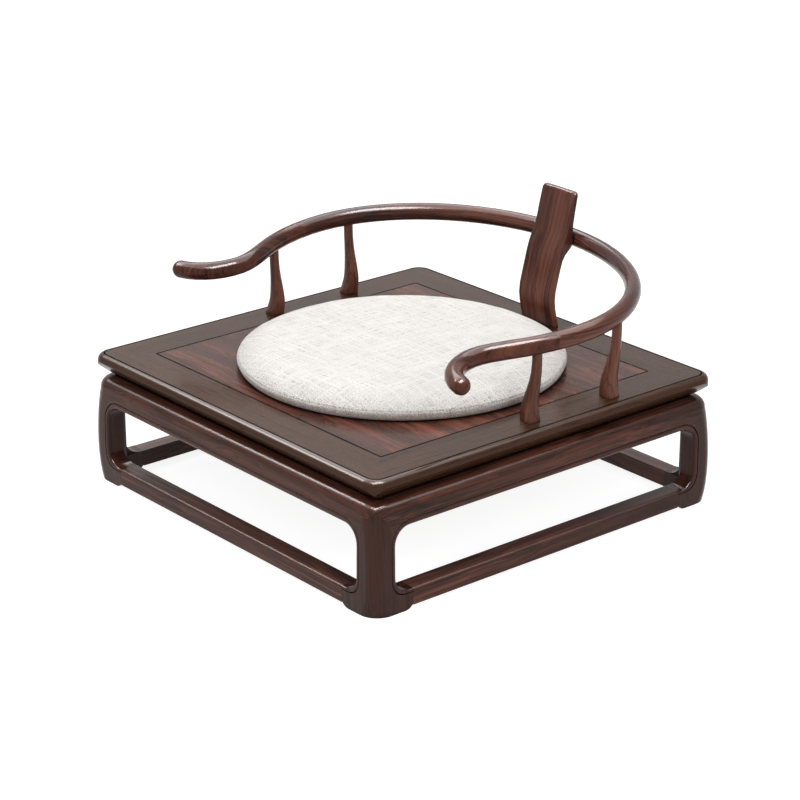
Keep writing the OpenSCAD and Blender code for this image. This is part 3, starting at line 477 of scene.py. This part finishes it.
def linen(name, round_side):
    """Undyed slubby linen, its threads along x and y, or along and up the side band.

    Towards the lower edge it is darker and more stippled: painted shade.
    """
    material, tree, shader = new_finish(name)
    x, y, z = place_in_piece(tree)
    across, along = x, y
    if round_side:
        depth = calc(tree, "SUBTRACT", y, cushion_middle.y)
        across, along = calc(tree, "MULTIPLY", calc(tree, "ARCTAN2", depth, x), cushion_r), z
    cloth = add_node(tree, "CombineXYZ", {0: across, 1: along}).outputs[0]

    def threads(scale, detail):
        mapped = add_node(tree, "Mapping", {"Vector": cloth, "Scale": scale})
        made = add_node(tree, "TexNoise", {
            "Vector": mapped.outputs["Vector"], "Scale": 1.0, "Detail": detail,
        })
        return made.outputs["Fac"]

    up = stretched(tree, z, cushion_base, cushion_base + cushion_t)
    below = calc(tree, "SUBTRACT", up, 1.0)
    weave = calc(tree, "ADD", threads((620, 34, 1), 2.0), threads((30, 620, 1), 2.0))
    slubs = calc(tree, "MAXIMUM", threads((190, 11, 1), 1.0), threads((9, 190, 1), 1.0))
    # painted shade: knots and tone shift darker towards the underside, so more threads stipple dark there
    knots = calc(tree, "ADD", threads((560, 560, 1), 1.0), calc(tree, "MULTIPLY", below, 0.20))
    blotches = threads((14, 14, 1), 2.0)

    tone = calc(tree, "ADD", calc(tree, "MULTIPLY", weave, 0.32), calc(tree, "MULTIPLY", slubs, 0.36))
    tone = calc(tree, "ADD", tone, calc(tree, "MULTIPLY", below, 0.02))
    shadow, flax, bleached = (0.46, 0.43, 0.38), (0.77, 0.74, 0.70), (0.88, 0.855, 0.82)
    color = ramp(tree, tone, [(0.37, shadow), (0.47, flax), (0.58, bleached)])
    color = times(tree, color, ramp(tree, knots, [(0.26, 0.5), (0.38, 1.0)]))
    color = times(tree, color, ramp(tree, blotches, [(0.3, 0.94), (0.7, 1.0)]))
    # painted shade: the colour darkens towards the underside, down to 0.62 at the bottom
    color = times(tree, color, ramp(tree, up, [(0.1, 0.62), (0.45, 0.82), (0.75, 0.96), (0.95, 1.0)]))
    tree.links.new(color, shader.inputs["Base Color"])

    relief = calc(tree, "ADD", calc(tree, "ADD", weave, slubs), calc(tree, "MULTIPLY", knots, 0.6))
    bump = add_node(tree, "Bump", {"Height": relief, "Strength": 0.6, "Distance": 0.0016})
    tree.links.new(bump.outputs["Normal"], shader.inputs["Normal"])
    shader.inputs["Roughness"].default_value = 0.92
    shader.inputs["Specular IOR Level"].default_value = 0.2
    shader.inputs["Sheen Weight"].default_value = 0.15
    shader.inputs["Sheen Roughness"].default_value = 0.5
    return material


def swell(piece, held, pressure, cap, frames=20, evened=9):
    """Pumps the closed mesh up as cloth and keeps the result.

    held gives how firmly the points of some rows are held. No point moves further than the cap, and
    short creases are evened out over that many neighbours to each side in the ring.
    """
    scene = bpy.context.scene
    group = piece.vertex_groups.new(name="held")
    for weight, rows in held:
        points = [row * cushion_sides + k for row in rows for k in range(cushion_sides)]
        group.add(points, weight, "REPLACE")
    rest = [v.co.copy() for v in piece.data.vertices]
    cloth = piece.modifiers.new("cloth", "CLOTH")
    cloth.settings.use_pressure = True
    cloth.settings.uniform_pressure_force = pressure
    cloth.settings.effector_weights.gravity = 0
    cloth.settings.vertex_group_mass = group.name
    cloth.settings.bending_stiffness = 5
    for frame_now in range(1, frames + 1):
        scene.frame_set(frame_now)
    swollen = piece.evaluated_get(bpy.context.evaluated_depsgraph_get()).data
    moved = [v.co.copy() for v in swollen.vertices]
    piece.modifiers.remove(cloth)
    scene.frame_set(1)
    steps = [end - start for start, end in zip(rest, moved)]
    steps = [step * min(1.0, cap / max(step.length, 1e-9)) for step in steps]
    neighbours = range(-evened, evened + 1)
    for v, start in zip(piece.data.vertices, rest):
        row, turn = divmod(v.index, cushion_sides)
        near = [steps[row * cushion_sides + (turn + j) % cushion_sides] for j in neighbours]
        v.co = start + sum(near, Vector()) / len(near)
        v.co.z = max(v.co.z, cushion_base)


cushion_lines, seam_row = cushion_section()
form = bmesh.new()
rings = []
for radius, height in cushion_lines:
    ring = []
    for k in range(cushion_sides):
        turn = 2 * math.pi * k / cushion_sides
        place = Vector((radius * math.cos(turn), radius * math.sin(turn), height))
        place.z += unevenness * noise.noise(40 * place) * min(1.0, height / even_below)
        ring.append(form.verts.new(place + Vector((cushion_middle.x, cushion_middle.y, cushion_base))))
    rings.append(ring)
for row, (low, high) in enumerate(zip(rings, rings[1:])):
    for k in range(cushion_sides):
        after = (k + 1) % cushion_sides
        face = form.faces.new((low[k], low[after], high[after], high[k]))
        face.material_index = 1 if row < seam_row else 0
        face.smooth = True
form.faces.new(list(reversed(rings[0]))).smooth = True
form.faces.new(rings[-1]).smooth = True
cushion_mesh = bpy.data.meshes.new("round_cushion")
form.to_mesh(cushion_mesh)
form.free()
cushion = add_object("round_cushion", cushion_mesh)
cushion_mesh.materials.append(linen("linen top", False))
cushion_mesh.materials.append(linen("linen band", True))
underside_rows = range(0, 9)
swell(cushion, [(1.0, underside_rows), (0.7, [seam_row])], pressure=4, cap=swelling)
seam_depth = 0.0020
for row, share in ((seam_row - 1, 0.35), (seam_row, 1.0), (seam_row + 1, 0.5), (seam_row + 2, 0.1)):
    for k in range(cushion_sides):
        v = cushion_mesh.vertices[row * cushion_sides + k]
        out = Vector((v.co.x - cushion_middle.x, v.co.y - cushion_middle.y, 0)).normalized()
        v.co -= seam_depth * share * out
finer = cushion.modifiers.new("finer", "SUBSURF")
finer.levels = finer.render_levels = 1
finer.use_limit_surface = False  # it takes a minute at the two round caps
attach(cushion, "cushion")
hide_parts("cushion")

# Room
# A pale floor under a plain white room, soft lamps overhead, in front and to the right, and the camera
# at the photograph's place. None of it is part of the chair.


def seen_only(tree):
    """1 for rays from the camera, and for those that a mirror or glass passes on, else 0."""
    ray = add_node(tree, "LightPath").outputs
    mirrored = calc(tree, "MAXIMUM", ray["Is Glossy Ray"], ray["Is Transmission Ray"])
    return calc(tree, "MAXIMUM", ray["Is Camera Ray"], mirrored)


floor_half = 30
floor_tone = 0.4
floor_glow = 0.88
floor_corners = [
    (-floor_half, -floor_half, 0), (floor_half, -floor_half, 0),
    (floor_half, floor_half, 0), (-floor_half, floor_half, 0),
]
floor_mesh = bpy.data.meshes.new("floor")
floor_mesh.from_pydata(floor_corners, [], [(0, 1, 2, 3)])
floor = add_object("floor", floor_mesh)
floor_paint, tree, paint = new_finish("pale floor")
paint.inputs["Base Color"].default_value = (floor_tone, floor_tone, floor_tone, 1)
paint.inputs["Roughness"].default_value = 1.0
paint.inputs["Specular IOR Level"].default_value = 0.0
glow_level = calc(tree, "MULTIPLY", seen_only(tree), floor_glow)
glow = add_node(tree, "Emission", {"Color": (1, 1, 1, 1), "Strength": glow_level})
both = add_node(tree, "AddShader", {0: paint.outputs[0], 1: glow.outputs[0]})
tree.links.new(both.outputs[0], tree.nodes["Material Output"].inputs["Surface"])
floor_mesh.materials.append(floor_paint)

room_light = 0.38
world = bpy.data.worlds.new("white room")
world.use_nodes = True
bpy.context.scene.world = world
tree = world.node_tree
level = calc(tree, "ADD", room_light, calc(tree, "MULTIPLY", seen_only(tree), 1 - room_light))
tree.links.new(level, tree.nodes["Background"].inputs["Strength"])
tree.nodes["Background"].inputs["Color"].default_value = (1, 1, 1, 1)


def lamp(name, place, aim, width, depth, watts, mirrored=False):
    """A soft lamp. It lights the chair; a mirrored one only shows as a gleam in the lacquer."""
    light = bpy.data.lights.new(name, "AREA")
    light.shape = "RECTANGLE"
    light.size, light.size_y = width, depth
    light.energy = watts
    made = add_object(name, light)
    made.location = place
    made.rotation_mode = "QUATERNION"
    made.rotation_quaternion = (Vector(aim) - Vector(place)).to_track_quat("-Z", "Y")
    made.visible_glossy = mirrored
    made.visible_diffuse = not mirrored
    made.visible_camera = False


seat_middle = (0, 0, 0.2)
lamp("overhead softbox", (-1.6, 0.4, 5.8), seat_middle, 6.0, 3.2, 165)
lamp("front softbox", (-0.6, -2.6, 2.0), seat_middle, 1.8, 1.4, 24)
lamp("right softbox", (2.6, -0.6, 1.6), seat_middle, 1.6, 1.4, 31)
lamp("wide gleam", (-0.9, 0, 3.0), (-0.9, 0, 0), 6.2, 4.8, 800, mirrored=True)
lamp("near gleam", (0.9, -0.6, 2.9), (0.9, -0.6, 0), 1.2, 2.4, 580, mirrored=True)
lamp("left gleam", (-2.8, -1.1, 2.9), (-2.8, -1.1, 0), 1.2, 1.4, 130, mirrored=True)

camera_data = bpy.data.cameras.new("camera")
camera_data.lens = 118.67
camera_data.sensor_width = 36
camera = add_object("camera", camera_data)
bpy.context.scene.camera = camera
azimuth, elevation = math.radians(49.97), math.radians(21.34)
towards_camera = Vector((
    math.sin(azimuth) * math.cos(elevation), -math.cos(azimuth) * math.cos(elevation), math.sin(elevation),
))
camera.location = (2.9417, -2.4779, 1.6480)
camera.rotation_mode = "QUATERNION"
camera.rotation_quaternion = (-towards_camera).to_track_quat("-Z", "Y")
bpy.context.scene.view_settings.view_transform = "Standard"
